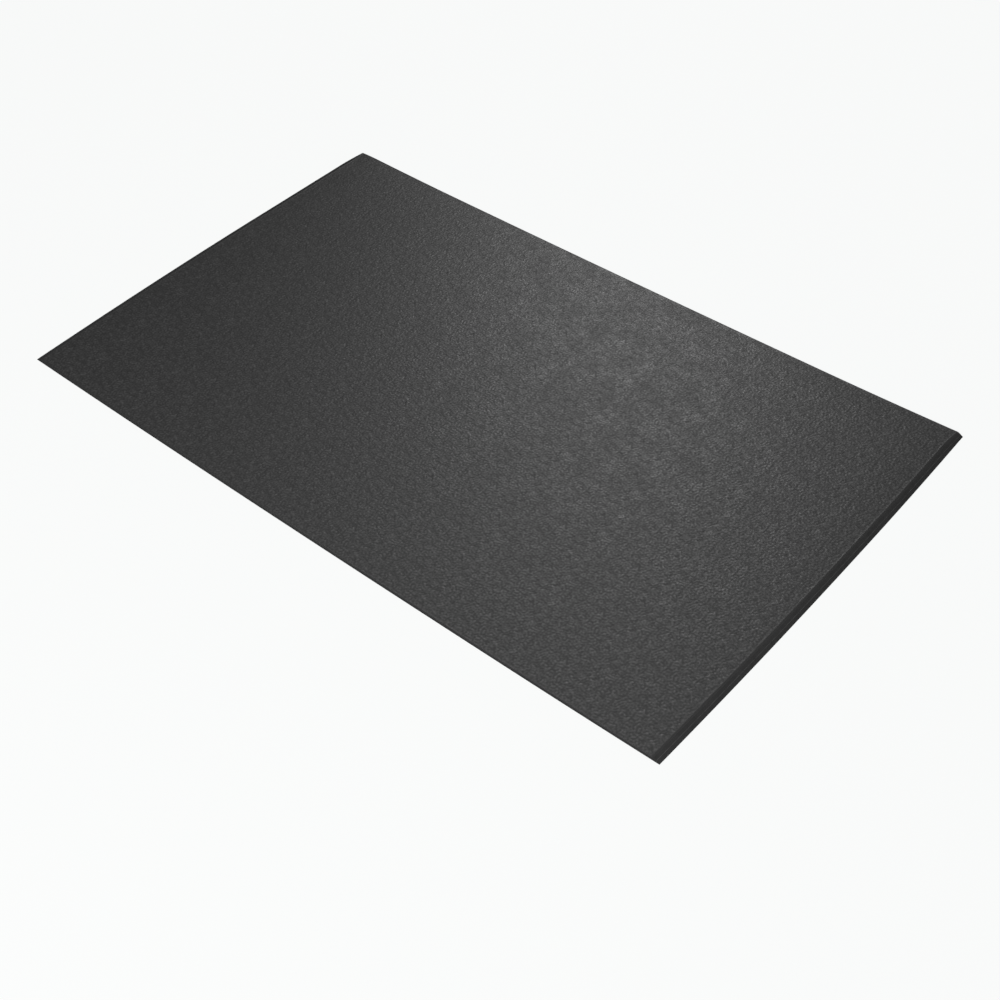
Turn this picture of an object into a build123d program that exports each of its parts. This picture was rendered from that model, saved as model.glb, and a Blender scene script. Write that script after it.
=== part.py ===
from build123d import *

import os

# Anti-fatigue floor mat, 1.5 m by 0.9 m, built as one bonded stack of flat layers.
# From the floor up: a non-slip backing, a lower foam, a reinforcing mesh, an upper
# foam and an embossed wear surface. The layers touch face to face with no gaps.
# Both short ends are cut on one slope through the whole stack, so that a foot or a
# wheel rides up onto the mat. The long sides are cut square.
# Origin: the middle of the mat, on the floor. +X runs along the length, +Z is up.

# Driving dimensions, in millimetres
LENGTH = 1500.0
WIDTH = 900.0
THICKNESS = 9.0
END_SLOPE_RUN = 14.5  # plan length of the sloped cut at each short end
BACKING_THICKNESS = 1.0  # also the height of the toe below the sloped cut
MESH_THICKNESS = 0.4
WEAR_THICKNESS = 1.4
MESH_HEIGHT = THICKNESS / 2  # the mesh's middle lies halfway up the stack
CREASE_RADIUS = 2.0  # softens the crease where the slope meets the top
SIDE_RADIUS = 0.6  # softens the top edge of each long side

# Heights of the faces between the layers
BASE_FOAM_BOTTOM = BACKING_THICKNESS
MESH_BOTTOM = MESH_HEIGHT - MESH_THICKNESS / 2
MESH_TOP = MESH_HEIGHT + MESH_THICKNESS / 2
WEAR_BOTTOM = THICKNESS - WEAR_THICKNESS


def half_length(height):
    """Half the mat's length at a height: full up to the toe, then back along the slope."""
    climb = max(height - BACKING_THICKNESS, 0.0) / (THICKNESS - BACKING_THICKNESS)
    return LENGTH / 2 - END_SLOPE_RUN * climb


def layer_section(bottom, top):
    """Lengthwise section of one layer, with its two ends on the mat's end cut."""
    with BuildSketch(Plane.XZ) as section:
        with BuildLine():
            Polyline(
                (-half_length(bottom), bottom),
                (half_length(bottom), bottom),
                (half_length(top), top),
                (-half_length(top), top),
                close=True,
            )
        make_face()
    return section.sketch


def finish_piece(piece, label):
    """Names a finished piece and writes it to its own file."""
    piece.part.label = label
    export_step(piece.part, f"parts/{label}.step")


os.makedirs("parts", exist_ok=True)

# Non-slip backing: the thin solid sheet that grips the floor, and the toe of each slope.
with BuildPart() as grip_backing:
    extrude(layer_section(0.0, BASE_FOAM_BOTTOM), amount=WIDTH / 2, both=True)
finish_piece(grip_backing, "grip_backing")

# Lower foam: the firm half of the cushion, from the backing to the mesh.
with BuildPart() as base_foam:
    extrude(layer_section(BASE_FOAM_BOTTOM, MESH_BOTTOM), amount=WIDTH / 2, both=True)
finish_piece(base_foam, "base_foam")

# Reinforcing mesh: keeps the foam from stretching. It is cut off flush on all sides.
with BuildPart() as scrim_mesh:
    extrude(layer_section(MESH_BOTTOM, MESH_TOP), amount=WIDTH / 2, both=True)
finish_piece(scrim_mesh, "scrim_mesh")

# Upper foam: the soft half of the cushion, from the mesh to the wear surface.
with BuildPart() as cushion_foam:
    extrude(layer_section(MESH_TOP, WEAR_BOTTOM), amount=WIDTH / 2, both=True)
finish_piece(cushion_foam, "cushion_foam")

# Wear surface: the embossed skin that is stood on. Its top edges are all softened.
with BuildPart() as wear_surface:
    extrude(layer_section(WEAR_BOTTOM, THICKNESS), amount=WIDTH / 2, both=True)
    top_edges = wear_surface.faces().sort_by(Axis.Z)[-1].edges()
    fillet(top_edges.filter_by(Axis.Y), radius=CREASE_RADIUS)
    side_edges = wear_surface.faces().sort_by(Axis.Z)[-1].edges().filter_by(Axis.X)
    fillet(side_edges, radius=SIDE_RADIUS)
finish_piece(wear_surface, "wear_surface")
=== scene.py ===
"""Looks of a pebble-embossed foam floor mat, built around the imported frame.

The mat is a bonded stack: a moulded wear surface, a soft foam, an open reinforcing
net, a firmer foam and a ribbed grip backing. Each layer is its own closed mesh.
"""

import math

import bpy
import numpy as np
from mathutils import Matrix, Vector


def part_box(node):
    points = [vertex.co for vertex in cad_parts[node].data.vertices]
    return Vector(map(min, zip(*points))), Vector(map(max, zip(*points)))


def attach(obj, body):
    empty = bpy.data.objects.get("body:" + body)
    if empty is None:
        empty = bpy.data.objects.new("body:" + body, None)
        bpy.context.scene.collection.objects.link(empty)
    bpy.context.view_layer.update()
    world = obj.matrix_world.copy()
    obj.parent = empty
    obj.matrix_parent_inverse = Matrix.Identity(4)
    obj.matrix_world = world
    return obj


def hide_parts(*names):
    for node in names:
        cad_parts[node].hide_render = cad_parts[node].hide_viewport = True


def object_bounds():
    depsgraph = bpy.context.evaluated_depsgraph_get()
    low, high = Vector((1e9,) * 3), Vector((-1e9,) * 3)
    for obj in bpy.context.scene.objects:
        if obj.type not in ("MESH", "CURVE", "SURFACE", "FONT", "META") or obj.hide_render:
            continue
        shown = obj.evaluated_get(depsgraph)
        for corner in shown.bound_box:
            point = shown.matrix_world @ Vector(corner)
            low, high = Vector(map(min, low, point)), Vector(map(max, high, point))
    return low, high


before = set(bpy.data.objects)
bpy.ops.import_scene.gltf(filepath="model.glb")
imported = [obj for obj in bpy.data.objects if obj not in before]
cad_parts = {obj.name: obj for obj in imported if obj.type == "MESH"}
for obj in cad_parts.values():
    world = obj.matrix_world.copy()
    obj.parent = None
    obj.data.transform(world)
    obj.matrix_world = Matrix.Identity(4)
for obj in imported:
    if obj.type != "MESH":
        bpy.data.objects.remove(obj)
cad_low, cad_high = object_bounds()

MM = 0.001
SEED = 41
SHARP_ANGLE = math.radians(40)  # edges bent more than this stay crisp

# ---------------------------------------------------------------- frame dimensions
HALF_WIDTH = cad_high.y
TOP = cad_high.z
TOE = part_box("grip_backing")[1].z
TOE_HALF_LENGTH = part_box("grip_backing")[1].x
NET_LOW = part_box("scrim_mesh")[0].z
NET_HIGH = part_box("scrim_mesh")[1].z
NET_MIDDLE = (NET_LOW + NET_HIGH) / 2
WEAR_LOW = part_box("wear_surface")[0].z
WEAR_HALF_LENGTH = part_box("wear_surface")[1].x
END_SLOPE = (TOE_HALF_LENGTH - WEAR_HALF_LENGTH) / (WEAR_LOW - TOE)  # run per rise

# ---------------------------------------------------------------- how the mat lies
LEFT_BOW = 8.8 * MM  # how far the middle of each short end bulges outwards
RIGHT_BOW = 5.1 * MM  # left is the end at -X, right the end at +X
CAMBER = 4.3 * MM  # how far the middle of the mat drifts towards -Y
LIFT_REACH = 300 * MM  # the curl of a corner dies out within this distance
DROOPING_CORNER = (-1, 1)  # the tip of this curled corner hangs back down
TIP_DROOP = 0.9  # how much of its curl the tip loses again
DROOP_REACH = 60 * MM
STEEPER_SHIFT = 6 * MM  # how far the tops of the end cuts reach out at the back corners
STEEPER_REACH = 50 * MM
EDGE_DROP = 1.2 * MM  # the cut pinches the stack this much thinner at its edges
EDGE_REACH = 80 * MM  # the pinch dies out within this distance
CORNER_LIFTS = {  # how far each corner curls up, by the signs of its x and y
    (-1, -1): 0.5 * MM,
    (1, -1): 1.5 * MM,
    (1, 1): 3.5 * MM,
    (-1, 1): 3.5 * MM,
}

# ---------------------------------------------------------------- wear surface
# The emboss adds up stretched pebbles, wrinkles, slow clusters and rows of low studs.
GRAIN_STEP = 1.6 * MM  # spacing of the embossed top's vertices
TILE_STEP = 0.8 * MM  # spacing of the emboss pattern's own samples
REPEAT_X = 154.24 * MM  # the emboss roll's repeat is a sheared cell
REPEAT_Y = 113.5 * MM
REPEAT_SHEAR = 15.9 * MM
EMBOSS_DEPTH = 1.0 * MM
PEBBLE_SIZE = 7.4 * MM
PEBBLE_STRETCH = 1.4  # how much longer, and narrower, the longest pebbles are
PEBBLE_STRAY = 0.42  # how far a pebble strays from its place, in spacings
PEBBLE_SWELL = (0.8, 1.25)  # range of the pebbles' sizes
PEBBLE_RISE = (0.6, 1.0)  # range of their heights
DOME_ROUNDNESS = 2.0  # 2 is an even dome, more is flatter on top
WRINKLE_SIZE = 5.6 * MM
WRINKLE_SPREAD = 0.3  # how much the size of the wrinkles varies
WRINKLE_SHARPNESS = 2.5
WRINKLE_BIAS = 0.1  # more makes their grooves wider than their ridges
CLUSTER_SIZE = 18 * MM
CLUSTER_SPREAD = 0.35
PEBBLE_SHARE = 0.5  # how much each kind of relief adds to the whole
WRINKLE_SHARE = 0.5
CLUSTER_SHARE = 0.3
STUD_SHARE = 0.15
STUD_RADIUS = 6.5 * MM
STUD_ROWS = 4  # raised studs down one repeat, in half-offset rows
PLAIN_RIM = 0.3 * MM  # the emboss starts this far inside the edges
RIM_FADE = 1.8 * MM  # and has its full depth this far inside
CREASE_RADIUS = 2.0 * MM  # softens the crease at the top of each end slope
SIDE_RADIUS = 0.6 * MM  # softens the long top edges
SIDE_RINGS = 6  # rings of points round that edge

# ---------------------------------------------------------------- inner layers
FOAM_STEP = 7.5 * MM
FOAM_ROWS = 6
FOAM_BULGE = 0.12 * MM  # how far each foam swells between its bonded faces
BULGE_FLATNESS = 4  # 2 is a round bulge, more is flatter in the middle
CUT_WANDER = 0.14 * MM  # how far a cut face wanders along its edge
CUT_TOLERANCE = 0.1 * MM  # points this near a cut face belong to it
WANDER_WAVES = (  # wavelength and weight of each wave of the wandering
    (31 * MM, 1.0),
    (67 * MM, 0.7),
    (190 * MM, 0.9),
    (430 * MM, 0.6),
)
WANDER_TWIST = 90  # radians per metre: the wandering changes a little up the cut
BASE_PHASE = 1.3  # where the waves start, in radians, so that no two cuts wander alike
CUSHION_PHASE = 4.1
SIDE_PHASE = 2  # added for the long sides
NET_PITCH = 10 * MM
YARN_WIDTH = 1.5 * MM
YARN_THICKNESS = (NET_HIGH - NET_LOW) / 2
YARN_PROUD = 0.25 * MM  # how far the cut net stands out of the end cuts
# a yarn's section, as shares of its half width and half thickness
YARN_SECTION = ((-1, 0), (-0.5, 1), (0.5, 1), (1, 0), (0.5, -1), (-0.5, -1))
RIB_PITCH = 4 * MM
RIB_SAMPLES = 6  # vertices across one rib of the backing
RIB_DEPTH = 0.25 * MM
RIB_BREADTH = 1.5  # more makes the grooves between the ribs narrower
BACKING_STEP = 15 * MM
BACKING_RINGS = (0.0, 0.3, 0.65, 1.0)  # heights of its side points, over its thickness

# ---------------------------------------------------------------- materials
# Greys and roughnesses come in pairs: at the low end and at the high end of what drives them.
NOISE_DETAIL = 3.0
NOISE_RANGE = (0.3, 0.7)  # noise seldom leaves this range
VINYL_GREYS = (0.0097, 0.0465)  # in the grooves, painted shade, and on the pebble tops, a painted highlight
VINYL_GREY_RELIEF = (0.21, 0.96)  # the relief at which those greys are reached
VINYL_GREY_POWER = 1.3  # more keeps the pale grey, the painted highlight, for the highest tops
VINYL_ROUGHNESS = (0.62, 0.40)
VINYL_POLISH = (0.0, 0.9)  # the polish at which those roughnesses are reached
PATCH_SIZE = 36 * MM
PATCH_POLISH = (0.6, 1.27)  # how well the pebble tops are polished, from patch to patch
VINYL_GRAIN = 0.9 * MM
VINYL_GRAIN_DEPTH = 0.02 * MM
FOAM_SHADES = (0.72, 1.5)  # grey of the pores, painted shade, and of the walls, over the foam's grey
FOAM_WALLS = (0.15, 0.55)  # cells from a cell's middle to where its wall begins and is full
FOAM_PATCH_SIZE = 9 * MM
FOAM_ROUGHNESS = (0.85, 0.97)
FOAM_SPECULAR = 0.12
FOAM_PORES = (0.1, 0.5)  # and to where its floor ends and its rim is reached
FOAM_PORE_DEPTH = 0.12 * MM
FOAM_PORE_STRENGTH = 0.8
FIRM_FOAM_GREY = 0.0195
FIRM_FOAM_CELL = 0.55 * MM
SOFT_FOAM_GREY = 0.0205
SOFT_FOAM_CELL = 0.75 * MM
YARN_GREYS = (0.034, 0.058)
YARN_ROUGHNESS = 0.8
YARN_SPECULAR = 0.2
YARN_FIBRE = 0.5 * MM
YARN_FIBRE_DEPTH = 0.06 * MM
BACKING_GREYS = (0.018, 0.026)
BACKING_ROUGHNESS = (0.72, 0.84)
BACKING_SPECULAR = 0.15
BACKING_FLOW = 20 * MM
BACKING_FLOW_STRETCH = (0.15, 1, 1)  # the pattern's scale on each axis: long marks in x
BACKING_SKIN = 0.7 * MM
BACKING_SKIN_DEPTH = 0.08 * MM

# ---------------------------------------------------------------- camera and stage
CAMERA_PLACE = Vector((1.4932, -1.5605, 1.9142))
CAMERA_AIM = Vector((0.2052, -0.1790, 0.0))
CAMERA_ROLL = math.radians(-3.205)
CAMERA_LENS = 55.66  # millimetres, over a sensor this many millimetres wide
SENSOR_WIDTH = 36.0
FLOOR_HALF = 14.0
FLOOR_DROP = 0.05 * MM  # keeps the floor's face just clear of the mat's
FLOOR_GREY = 0.02
BACKDROP_RADIUS = 13.5
BACKDROP_SEGMENTS = 48
BACKDROP_RINGS = 24
BACKDROP_GREY = 0.0
STAGE_GLOW = 0.93
STAGE_TINT = (0.99, 1.0, 0.995, 1)  # a barely green white
SURROUND_GLOW = 0.066
SOFTBOXES = (  # name, place, point it faces, side length, watts
    ("back_box", (-1.25, 2.20, 1.90), (0, 0.1, 0), 0.7, 21.8),
    ("high_back_box", (-0.95, 1.75, 2.30), (0, 0.1, 0), 0.7, 8.3),
    ("right_box", (2.6, 1.2, 1.8), (0.3, 0, 0), 0.9, 12.3),
    ("front_box", (0.6, -2.8, 2.2), (0, 0, 0), 1.2, 221),
)


# ================================================================ shape of the mat
def half_length(height):
    """Half the mat's length at a height: full at the toe, then back along the end slope."""
    return TOE_HALF_LENGTH - END_SLOPE * np.maximum(height - TOE, 0.0)


def nearness(distance, reach):
    """1 at no distance, falling evenly to 0 at the reach and beyond."""
    return np.clip(1 - distance / reach, 0, 1)


def pinch(x, y):
    """How strongly the cut edges pinch the stack: 1 at an edge, 0 well inside."""
    near_end = nearness(TOE_HALF_LENGTH - np.abs(x), EDGE_REACH)
    near_side = nearness(HALF_WIDTH - np.abs(y), EDGE_REACH)
    return 1 - (1 - near_end**2) * (1 - near_side**2)


def lay_down(points):
    """Moves points of the flat, straight mat to where the relaxed mat really lies."""
    x, y, z = points[:, 0], points[:, 1], points[:, 2]
    z = z - EDGE_DROP * z / TOP * pinch(x, y)
    along = x / TOE_HALF_LENGTH
    across = y / HALF_WIDTH
    bow = np.where(along < 0, -LEFT_BOW, RIGHT_BOW) * np.abs(along) * (1 - across**2)
    drift = -CAMBER * (1 - along**2)
    near_end = nearness(TOE_HALF_LENGTH - np.abs(x), EDGE_REACH)
    steeper = STEEPER_SHIFT * z / TOP * near_end * nearness(HALF_WIDTH - y, STEEPER_REACH) ** 2
    lift = np.zeros_like(z)
    for (side_x, side_y), height in CORNER_LIFTS.items():
        away = np.hypot(x - side_x * TOE_HALF_LENGTH, y - side_y * HALF_WIDTH)
        curl = nearness(away, LIFT_REACH) ** 2
        if (side_x, side_y) == DROOPING_CORNER:
            curl -= TIP_DROOP * nearness(away, DROOP_REACH) ** 2
        lift += height * curl
    return np.stack([x + bow + np.sign(x) * steeper, y + drift, z + lift], axis=1)


def make_object(name, points, quads, attributes=None):
    """Makes an object from point and quad arrays, smooth except across sharp edges."""
    mesh = bpy.data.meshes.new(name)
    mesh.vertices.add(len(points))
    mesh.vertices.foreach_set("co", points.astype(np.float32).ravel())
    mesh.loops.add(quads.size)
    mesh.loops.foreach_set("vertex_index", quads.astype(np.int32).ravel())
    mesh.polygons.add(len(quads))
    mesh.polygons.foreach_set("loop_start", np.arange(0, quads.size, 4, dtype=np.int32))
    for key, values in (attributes or {}).items():
        layer = mesh.attributes.new(key, "FLOAT", "POINT")
        layer.data.foreach_set("value", values.astype(np.float32).ravel())
    mesh.update(calc_edges=True)
    mesh.validate()
    mesh.shade_smooth()
    mesh.set_sharp_from_angle(angle=SHARP_ANGLE)
    piece = bpy.data.objects.new(name, mesh)
    bpy.context.scene.collection.objects.link(piece)
    return piece


def slab_quads(count_x, count_y, level_count):
    """Quads of a closed slab: a bottom grid, rings of side points, and a top grid.

    Points are numbered bottom grid first, then one ring per inner level, then top grid.
    """
    grid = np.arange(count_x * count_y).reshape(count_x, count_y)
    ring = np.concatenate([grid[:-1, 0], grid[-1, :-1], grid[:0:-1, -1], grid[0, :0:-1]])
    inner_levels = level_count - 2
    top_start = grid.size + inner_levels * len(ring)
    rings = [ring]
    for level in range(inner_levels):
        rings.append(grid.size + level * len(ring) + np.arange(len(ring)))
    rings.append(ring + top_start)
    cell = [grid[:-1, :-1], grid[1:, :-1], grid[1:, 1:], grid[:-1, 1:]]
    faces = [
        np.stack([c.ravel() for c in cell], axis=1) + top_start,
        np.stack([c.ravel() for c in cell[::-1]], axis=1),
    ]
    for lower, upper in zip(rings[:-1], rings[1:]):
        faces.append(
            np.stack([lower, np.roll(lower, -1), np.roll(upper, -1), upper], axis=1)
        )
    return ring, np.concatenate(faces)


def slab_points(stations_x, stations_y, levels):
    """Points of a closed slab. Levels are (height, half length, half width), going up."""
    along, across = np.meshgrid(stations_x, stations_y, indexing="ij")
    along, across = along.ravel(), across.ravel()
    ring, quads = slab_quads(len(stations_x), len(stations_y), len(levels))
    blocks = []
    for number, (height, half_x, half_y) in enumerate(levels):
        whole = number in (0, len(levels) - 1)
        pick = slice(None) if whole else ring
        x = along[pick] * half_x
        y = across[pick] * half_y
        blocks.append(np.stack([x, y, np.full_like(x, height)], axis=1))
    return np.concatenate(blocks), quads


def stations(half_size, step):
    """Evenly spaced fractions from -1 to 1, about one step apart on the real size."""
    return np.linspace(-1, 1, int(round(2 * half_size / step)) + 1)


# ================================================================ emboss pattern
def tile_shape():
    """Samples down and along one repeat of the emboss pattern."""
    return int(round(REPEAT_Y / TILE_STEP)), int(round(REPEAT_X / TILE_STEP))


def tile_grid():
    """Positions of the tile's samples as fractions of the repeat, down and along."""
    rows, columns = tile_shape()
    return np.meshgrid(np.arange(rows) / rows, np.arange(columns) / columns, indexing="ij")


def repeat_to_place(along, down):
    """Real x and y, in metres, of a place given in fractions of the repeat."""
    return along * REPEAT_X + down * REPEAT_SHEAR, -down * REPEAT_Y


def band_noise(wavelength, spread, random):
    """Seamless noise on the tile, with bumps about one wavelength apart, from -1 to 1."""
    rows, columns = tile_shape()
    m = np.fft.fftfreq(columns, 1 / columns)[None, :]
    n = np.fft.fftfreq(rows, 1 / rows)[:, None]
    wave_x = m / REPEAT_X
    wave_y = m * REPEAT_SHEAR / (REPEAT_X * REPEAT_Y) - n / REPEAT_Y
    wave = np.hypot(wave_x, wave_y) * wavelength
    keep = np.exp(-((wave - 1) ** 2) / (2 * spread**2))
    field = np.fft.ifft2(np.fft.fft2(random.standard_normal((rows, columns))) * keep).real
    return np.clip(field / (2 * field.std()), -1, 1)


def pebble_domes(random):
    """Close-packed long pebbles on the tile: 1 on a dome's middle, 0 where domes meet."""
    down, along = tile_grid()
    count_x = int(round(REPEAT_X / PEBBLE_SIZE))
    count_y = 2 * int(round(REPEAT_Y / PEBBLE_SIZE / 2))
    stray = random.uniform(-PEBBLE_STRAY, PEBBLE_STRAY, (2, count_y, count_x))
    turn = random.uniform(0, math.pi, (count_y, count_x))
    stretch = random.uniform(1.0, PEBBLE_STRETCH, (count_y, count_x))
    swell = random.uniform(*PEBBLE_SWELL, (count_y, count_x))
    rise = random.uniform(*PEBBLE_RISE, (count_y, count_x))
    row = np.floor(down * count_y).astype(int)
    column = np.floor(along * count_x).astype(int)
    nearest = np.full(down.shape, np.inf)
    second = np.full(down.shape, np.inf)
    height = np.zeros(down.shape)
    for step_y in range(-3, 4):
        for step_x in range(-3, 4):
            r, c = (row + step_y) % count_y, (column + step_x) % count_x
            middle_x = column + step_x + 0.5 + 0.5 * (r % 2) + stray[0, r, c]
            middle_y = row + step_y + 0.5 + stray[1, r, c]
            dx, dy = repeat_to_place(along - middle_x / count_x, down - middle_y / count_y)
            lengthwise = dx * np.cos(turn[r, c]) + dy * np.sin(turn[r, c])
            sideways = dy * np.cos(turn[r, c]) - dx * np.sin(turn[r, c])
            distance = np.hypot(lengthwise / stretch[r, c], sideways * stretch[r, c])
            distance /= swell[r, c]
            closer = distance < nearest
            second = np.where(closer, nearest, np.minimum(second, distance))
            height = np.where(closer, rise[r, c], height)
            nearest = np.where(closer, distance, nearest)
    share = 2 * nearest / (nearest + second)
    return height * (1 - share**DOME_ROUNDNESS)


def studs():
    """Larger raised studs in half-offset rows, 1 in the middle of each and 0 between."""
    down, along = tile_grid()
    total = np.zeros(down.shape)
    for number in range(STUD_ROWS):
        for wrap_x in (-1, 0, 1, 2):
            for wrap_y in (-1, 0, 1):
                stud_along = 0.5 * (number % 2) + wrap_x
                stud_down = number / STUD_ROWS + wrap_y
                dx, dy = repeat_to_place(along - stud_along, down - stud_down)
                total += np.exp(-((dx**2 + dy**2) / (STUD_RADIUS**2)))
    return np.clip(total, 0, 1)


def emboss_tile():
    """Height of the emboss over one repeat, from 0 at the deepest groove to 1 at the top."""
    random = np.random.default_rng(SEED)
    pebbles = pebble_domes(random)
    ridges = band_noise(WRINKLE_SIZE, WRINKLE_SPREAD, random) - WRINKLE_BIAS
    wrinkles = np.tanh(WRINKLE_SHARPNESS * ridges)
    clusters = band_noise(CLUSTER_SIZE, CLUSTER_SPREAD, random)
    surface = PEBBLE_SHARE * pebbles + WRINKLE_SHARE * (0.5 + 0.5 * wrinkles)
    surface += CLUSTER_SHARE * (0.5 + 0.5 * clusters) + STUD_SHARE * studs()
    return (surface - surface.min()) / (surface.max() - surface.min())


def sample_tile(tile, x, y):
    """Reads the repeating tile at real places, blending between its samples."""
    rows, columns = tile.shape
    down = -y / REPEAT_Y
    along = (x - down * REPEAT_SHEAR) / REPEAT_X
    row, column = (down % 1) * rows, (along % 1) * columns
    r, c = np.floor(row).astype(int), np.floor(column).astype(int)
    blend_r, blend_c = row - r, column - c
    r, c = r % rows, c % columns
    r_next, c_next = (r + 1) % rows, (c + 1) % columns
    upper = tile[r, c] * (1 - blend_c) + tile[r, c_next] * blend_c
    lower = tile[r_next, c] * (1 - blend_c) + tile[r_next, c_next] * blend_c
    return upper * (1 - blend_r) + lower * blend_r


# ================================================================ pieces
def wear_levels():
    """Heights and half sizes of the wear surface's rings, up over its rounded edges."""
    slope_angle = math.atan2(1, END_SLOPE)
    crease_start = half_length(TOP) - CREASE_RADIUS * math.tan(slope_angle / 2)
    crease_drop = CREASE_RADIUS * (1 - math.cos(slope_angle))
    side_turns = np.linspace(0, math.pi / 2, SIDE_RINGS + 1)
    drops = [TOP - WEAR_LOW, (TOP - WEAR_LOW + SIDE_RADIUS) / 2]
    drops += [SIDE_RADIUS * (1 - math.sin(turn)) for turn in side_turns]
    levels = []
    for drop in drops:
        half_x = half_length(TOP - drop)
        if drop < crease_drop:
            half_x = crease_start + math.sqrt(CREASE_RADIUS**2 - (CREASE_RADIUS - drop) ** 2)
        half_y = HALF_WIDTH - SIDE_RADIUS
        half_y += math.sqrt(SIDE_RADIUS**2 - max(SIDE_RADIUS - drop, 0.0) ** 2)
        levels.append((TOP - drop, half_x, half_y))
    return levels


def build_wear_surface():
    """The embossed skin that is stood on, with smooth rounded edges all round."""
    levels = wear_levels()
    _, half_x, half_y = levels[-1]
    x_stations = stations(half_x, GRAIN_STEP)
    y_stations = stations(half_y, GRAIN_STEP)
    points, quads = slab_points(x_stations, y_stations, levels)
    top = slice(len(points) - len(x_stations) * len(y_stations), None)
    x, y = points[top, 0], points[top, 1]
    to_edge = np.minimum(half_x - np.abs(x), half_y - np.abs(y))
    fade = np.clip((to_edge - PLAIN_RIM) / (RIM_FADE - PLAIN_RIM), 0, 1)
    drop = fade * (1 - sample_tile(emboss_tile(), x, y))
    points[top, 2] -= EMBOSS_DEPTH * drop
    # the plain rim gets no relief though it stands at full height, so it takes the grooves' dark
    # grey: painted shade along the edges
    relief = np.zeros(len(points))
    relief[top] = (1 - drop) * fade
    return make_object("wear_surface_embossed", lay_down(points), quads, {"relief": relief})


def wander(distance, height, start_phase):
    """Slow irregular in-and-out of a hand-guided cut along an edge, from -1 to 1."""
    total = np.zeros_like(distance)
    for number, (wavelength, weight) in enumerate(WANDER_WAVES):
        phase = start_phase * (number + 1) + WANDER_TWIST * height
        total += weight * np.sin(2 * math.pi * distance / wavelength + phase)
    return total / sum(weight for _, weight in WANDER_WAVES)


def build_foam(name, low, high, phase):
    """One foam layer, with its cut faces swollen slightly between the bonded faces."""
    levels = []
    for height in np.linspace(low, high, FOAM_ROWS + 1):
        rise = (height - low) / (high - low)
        swell = FOAM_BULGE * (1 - (2 * rise - 1) ** BULGE_FLATNESS)
        levels.append((height, half_length(height) + swell, HALF_WIDTH + swell))
    x_stations = stations(TOE_HALF_LENGTH, FOAM_STEP)
    y_stations = stations(HALF_WIDTH, FOAM_STEP)
    points, quads = slab_points(x_stations, y_stations, levels)
    at_end = np.abs(points[:, 0]) > half_length(points[:, 2]) - CUT_TOLERANCE
    at_side = np.abs(points[:, 1]) > HALF_WIDTH - CUT_TOLERANCE
    end_shift = wander(points[:, 1], points[:, 2], phase)
    side_shift = wander(points[:, 0], points[:, 2], phase + SIDE_PHASE)
    points[:, 0] += np.where(at_end, CUT_WANDER * end_shift * np.sign(points[:, 0]), 0)
    points[:, 1] += np.where(at_side, CUT_WANDER * side_shift * np.sign(points[:, 1]), 0)
    return make_object(name, lay_down(points), quads)


def yarns(lengthwise, places, ends, crossings):
    """Points and quads of parallel flat yarns that weave over and under at the crossings."""
    section = np.array(YARN_SECTION) * (YARN_WIDTH / 2, YARN_THICKNESS / 2)
    run = np.concatenate([[-ends], crossings, [ends]])
    points, quads, start = [], [], 0
    for number, place in enumerate(places):
        turn = np.where((np.arange(len(run)) + number) % 2 == 0, 1, -1)
        middle_z = NET_MIDDLE + turn * YARN_THICKNESS / 2
        along = np.repeat(run, len(section))
        side = place + np.tile(section[:, 0], len(run))
        up = np.repeat(middle_z, len(section)) + np.tile(section[:, 1], len(run))
        pair = (along, side) if lengthwise else (side, along)
        points.append(np.stack([*pair, up], axis=1))
        ring = np.arange(len(section))
        for step in range(len(run) - 1):
            here = start + step * len(section) + ring
            there = here + len(section)
            quads.append(np.stack([here, there, np.roll(there, -1), np.roll(here, -1)], axis=1))
        for cap, flip in ((start, 1), (start + (len(run) - 1) * len(section), -1)):
            a, b, c, d, e, f = cap + ring
            quads.append(np.array([[a, b, c, d], [a, d, e, f]])[:, ::flip])
        start += len(run) * len(section)
    points, quads = np.concatenate(points), np.concatenate(quads)
    return points, quads if lengthwise else quads[:, ::-1]


def build_net():
    """Open woven net between the foams. Its outer crossways yarns show along the end cuts."""
    end = half_length(NET_MIDDLE)
    cross_x = np.linspace(-end, end, int(round(2 * end / NET_PITCH)) + 1)
    count_y = int(round(2 * HALF_WIDTH / NET_PITCH))
    long_y = (np.arange(count_y) + 0.5) / count_y * 2 * HALF_WIDTH - HALF_WIDTH
    inset = YARN_WIDTH / 2 - YARN_PROUD
    cross_places = cross_x.copy()
    cross_places[[0, -1]] += [inset, -inset]
    long_points, long_quads = yarns(True, long_y, end, cross_x[1:-1])
    cross_points, cross_quads = yarns(False, cross_places, HALF_WIDTH, long_y)
    points = np.concatenate([long_points, cross_points])
    quads = np.concatenate([long_quads, cross_quads + len(long_points)])
    return make_object("scrim_mesh_net", lay_down(points), quads)


def build_backing():
    """The grip backing: a thin sheet with fine lengthwise ribs moulded underneath."""
    rib_count = int(round(2 * HALF_WIDTH / RIB_PITCH))
    y_stations = np.linspace(-1, 1, rib_count * RIB_SAMPLES + 1)
    x_stations = stations(TOE_HALF_LENGTH, BACKING_STEP)
    levels = [(share * TOE, TOE_HALF_LENGTH, HALF_WIDTH) for share in BACKING_RINGS]
    points, quads = slab_points(x_stations, y_stations, levels)
    bottom = slice(0, len(x_stations) * len(y_stations))
    across = (points[bottom, 1] + HALF_WIDTH) / RIB_PITCH % 1
    groove = (0.5 + 0.5 * np.cos(2 * math.pi * across)) ** RIB_BREADTH
    points[bottom, 2] += RIB_DEPTH * groove
    return make_object("grip_backing_ribbed", lay_down(points), quads)


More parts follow.
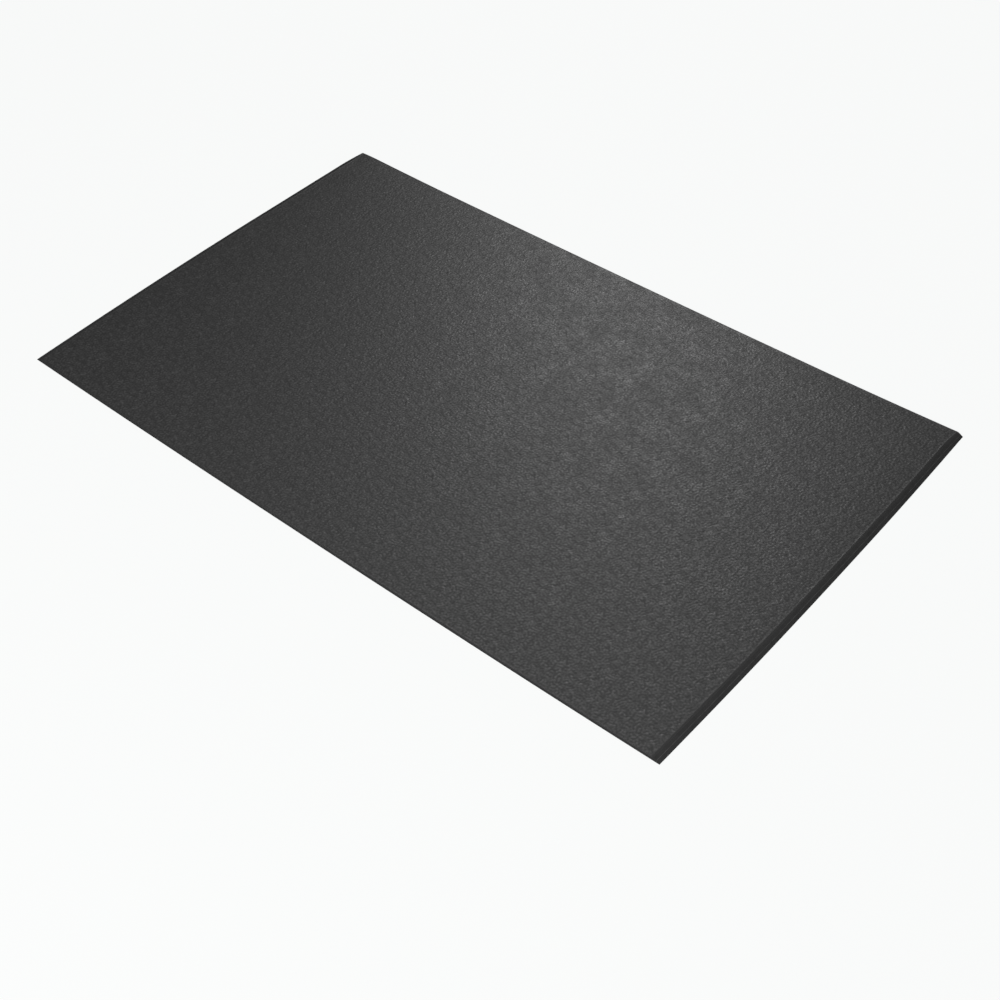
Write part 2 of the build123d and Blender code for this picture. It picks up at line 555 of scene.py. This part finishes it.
# ================================================================ materials
def new_material(name):
    """An empty node material with a Principled shader."""
    material = bpy.data.materials.new(name)
    material.use_nodes = True
    tree = material.node_tree
    tree.nodes.clear()
    output = tree.nodes.new("ShaderNodeOutputMaterial")
    shader = tree.nodes.new("ShaderNodeBsdfPrincipled")
    tree.links.new(shader.outputs["BSDF"], output.inputs["Surface"])
    return material, tree, shader


def place_output(tree):
    """Positions in metres in the mat's own frame."""
    return tree.nodes.new("ShaderNodeTexCoord").outputs["Object"]


def noise(tree, size, stretch=(1, 1, 1)):
    """Noise with bumps about one size apart, from 0 to 1."""
    mapping = tree.nodes.new("ShaderNodeMapping")
    mapping.inputs["Scale"].default_value = stretch
    tree.links.new(place_output(tree), mapping.inputs["Vector"])
    texture = tree.nodes.new("ShaderNodeTexNoise")
    texture.inputs["Scale"].default_value = 1 / size
    texture.inputs["Detail"].default_value = NOISE_DETAIL
    tree.links.new(mapping.outputs["Vector"], texture.inputs["Vector"])
    return texture.outputs["Fac"]


def cells(tree, size):
    """Distance to the middle of the nearest foam cell, about 0 to 0.7."""
    texture = tree.nodes.new("ShaderNodeTexVoronoi")
    texture.inputs["Scale"].default_value = 1 / size
    tree.links.new(place_output(tree), texture.inputs["Vector"])
    return texture.outputs["Distance"]


def remap(tree, value, source, target):
    """Maps a value from one range to another, held at the ends."""
    node = tree.nodes.new("ShaderNodeMapRange")
    node.inputs["From Min"].default_value, node.inputs["From Max"].default_value = source
    node.inputs["To Min"].default_value, node.inputs["To Max"].default_value = target
    tree.links.new(value, node.inputs["Value"])
    return node.outputs["Result"]


def math_node(tree, operation, first, second):
    """Joins two values, or a value and a number, with one operation."""
    node = tree.nodes.new("ShaderNodeMath")
    node.operation = operation
    for number, value in enumerate((first, second)):
        if isinstance(value, (int, float)):
            node.inputs[number].default_value = value
        else:
            tree.links.new(value, node.inputs[number])
    return node.outputs["Value"]


def blend_greys(tree, factor, greys):
    """A grey between two, by a value from 0 to 1."""
    node = tree.nodes.new("ShaderNodeMix")
    node.data_type = "RGBA"
    for socket, grey in zip([s for s in node.inputs if s.type == "RGBA"], greys):
        socket.default_value = (grey, grey, grey, 1)
    tree.links.new(factor, node.inputs["Factor"])
    return [s for s in node.outputs if s.type == "RGBA"][0]


def bump(tree, shader, height, distance, strength=1.0):
    """Fine surface relief too small to model."""
    node = tree.nodes.new("ShaderNodeBump")
    node.inputs["Distance"].default_value = distance
    node.inputs["Strength"].default_value = strength
    tree.links.new(height, node.inputs["Height"])
    tree.links.new(node.outputs["Normal"], shader.inputs["Normal"])


def attribute(tree, name):
    """A value stored on the mesh."""
    node = tree.nodes.new("ShaderNodeAttribute")
    node.attribute_name = name
    return node.outputs["Fac"]


def vinyl_material():
    """Moulded charcoal vinyl: pebble tops polished in patches, and dull grooves. Its grey is
    darker in the grooves, painted shade, and paler on the pebble tops, a painted highlight.
    """
    material, tree, shader = new_material("charcoal_vinyl")
    relief = attribute(tree, "relief")
    # the grey follows the relief: painted shade in the grooves, painted highlight on the highest
    # tops
    height = remap(tree, relief, VINYL_GREY_RELIEF, (0, 1))
    painted_shade_and_highlight = math_node(tree, "POWER", height, VINYL_GREY_POWER)
    colour = blend_greys(tree, painted_shade_and_highlight, VINYL_GREYS)
    tree.links.new(colour, shader.inputs["Base Color"])
    patches = remap(tree, noise(tree, PATCH_SIZE), NOISE_RANGE, PATCH_POLISH)
    polish = math_node(tree, "MULTIPLY", relief, patches)
    roughness = remap(tree, polish, VINYL_POLISH, VINYL_ROUGHNESS)
    tree.links.new(roughness, shader.inputs["Roughness"])
    bump(tree, shader, noise(tree, VINYL_GRAIN), VINYL_GRAIN_DEPTH)
    return material


def foam_material(name, grey, cell_size):
    """Cut face of closed-cell foam: fine open cells, darker in their middles as painted shade,
    with thin lighter walls.
    """
    material, tree, shader = new_material(name)
    pores = cells(tree, cell_size)
    uneven = noise(tree, FOAM_PATCH_SIZE)
    # the pores' darker grey is painted shade where the cells dip in
    walls = math_node(tree, "MULTIPLY", remap(tree, pores, FOAM_WALLS, (0, 1)), uneven)
    colour = blend_greys(tree, walls, [shade * grey for shade in FOAM_SHADES])
    tree.links.new(colour, shader.inputs["Base Color"])
    roughness = remap(tree, uneven, NOISE_RANGE, FOAM_ROUGHNESS)
    tree.links.new(roughness, shader.inputs["Roughness"])
    shader.inputs["Specular IOR Level"].default_value = FOAM_SPECULAR
    rims = remap(tree, pores, FOAM_PORES, (0, 1))
    bump(tree, shader, rims, FOAM_PORE_DEPTH, FOAM_PORE_STRENGTH)
    return material


def yarn_material():
    """Coated yarn: fine fibres wound along it, a little paler where the coating is thin."""
    material, tree, shader = new_material("coated_yarn")
    fibres = noise(tree, YARN_FIBRE)
    tree.links.new(blend_greys(tree, fibres, YARN_GREYS), shader.inputs["Base Color"])
    shader.inputs["Roughness"].default_value = YARN_ROUGHNESS
    shader.inputs["Specular IOR Level"].default_value = YARN_SPECULAR
    bump(tree, shader, fibres, YARN_FIBRE_DEPTH)
    return material


def backing_material():
    """Dull grip vinyl: a slightly open skin with faint flow marks along its length."""
    material, tree, shader = new_material("ribbed_vinyl")
    flow = noise(tree, BACKING_FLOW, BACKING_FLOW_STRETCH)
    tree.links.new(blend_greys(tree, flow, BACKING_GREYS), shader.inputs["Base Color"])
    roughness = remap(tree, flow, NOISE_RANGE, BACKING_ROUGHNESS)
    tree.links.new(roughness, shader.inputs["Roughness"])
    shader.inputs["Specular IOR Level"].default_value = BACKING_SPECULAR
    bump(tree, shader, noise(tree, BACKING_SKIN), BACKING_SKIN_DEPTH)
    return material


# ================================================================ stage
def pale_material(name, grey):
    """Matt pale surface, mostly lit from within like a light table."""
    material, _, shader = new_material(name)
    shader.inputs["Base Color"].default_value = (grey, grey, grey, 1)
    shader.inputs["Roughness"].default_value = 1.0
    shader.inputs["Specular IOR Level"].default_value = 0.0
    shader.inputs["Emission Color"].default_value = STAGE_TINT
    shader.inputs["Emission Strength"].default_value = STAGE_GLOW
    material.cycles.emission_sampling = "NONE"
    return material


def build_stage():
    """A floor under the mat, and a backdrop behind it. Neither one's glow lights the mat."""
    bpy.ops.mesh.primitive_plane_add(size=2 * FLOOR_HALF, location=(0, 0, -FLOOR_DROP))
    floor = bpy.context.active_object
    floor.name = "floor"
    floor.data.materials.append(pale_material("pale_floor", FLOOR_GREY))
    bpy.ops.mesh.primitive_uv_sphere_add(
        radius=BACKDROP_RADIUS, segments=BACKDROP_SEGMENTS, ring_count=BACKDROP_RINGS
    )
    backdrop = bpy.context.active_object
    backdrop.name = "backdrop"
    backdrop.data.materials.append(pale_material("pale_backdrop", BACKDROP_GREY))
    for part in (floor, backdrop):
        part.visible_diffuse = False
        part.visible_glossy = False
    backdrop.visible_transmission = False
    backdrop.visible_shadow = False


def add_softbox(name, place, aim, size, power):
    """A square soft light that faces a point."""
    data = bpy.data.lights.new(name, "AREA")
    data.shape = "RECTANGLE"
    data.size = data.size_y = size
    data.energy = power
    light = bpy.data.objects.new(name, data)
    bpy.context.scene.collection.objects.link(light)
    light.location = place
    light.rotation_euler = (Vector(aim) - Vector(place)).to_track_quat("-Z", "Y").to_euler()


def light_scene():
    """Soft studio light: boxes beyond the mat, to its right and in front, and a dim surround."""
    for softbox in SOFTBOXES:
        add_softbox(*softbox)
    world = bpy.data.worlds.new("surround")
    world.use_nodes = True
    background = world.node_tree.nodes["Background"]
    background.inputs["Color"].default_value = (1, 1, 1, 1)
    background.inputs["Strength"].default_value = SURROUND_GLOW
    bpy.context.scene.world = world


def add_camera():
    """The camera, at the photograph's angle."""
    data = bpy.data.cameras.new("camera")
    data.sensor_width = SENSOR_WIDTH
    data.lens = CAMERA_LENS
    camera = bpy.data.objects.new("camera", data)
    bpy.context.scene.collection.objects.link(camera)
    look = (CAMERA_AIM - CAMERA_PLACE).to_track_quat("-Z", "Y").to_matrix()
    turn = Matrix.Rotation(CAMERA_ROLL, 3, "Z")
    camera.matrix_world = Matrix.Translation(CAMERA_PLACE) @ (look @ turn).to_4x4()
    bpy.context.scene.camera = camera


# ================================================================ the whole mat
def fit_piece(piece, node, material):
    """Puts a finished piece in the place of its CAD node."""
    piece.data.materials.append(material)
    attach(piece, "root")
    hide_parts(node)


backing = build_backing()
base = build_foam("base_foam_layer", TOE, NET_MIDDLE, BASE_PHASE)
net = build_net()
cushion = build_foam("cushion_foam_layer", NET_MIDDLE, WEAR_LOW, CUSHION_PHASE)
wear = build_wear_surface()

firm_foam = foam_material("firm_cut_foam", FIRM_FOAM_GREY, FIRM_FOAM_CELL)
soft_foam = foam_material("soft_cut_foam", SOFT_FOAM_GREY, SOFT_FOAM_CELL)
fit_piece(backing, "grip_backing", backing_material())
fit_piece(base, "base_foam", firm_foam)
fit_piece(net, "scrim_mesh", yarn_material())
fit_piece(cushion, "cushion_foam", soft_foam)
fit_piece(wear, "wear_surface", vinyl_material())

build_stage()
light_scene()
add_camera()
bpy.context.scene.view_settings.view_transform = "Standard"
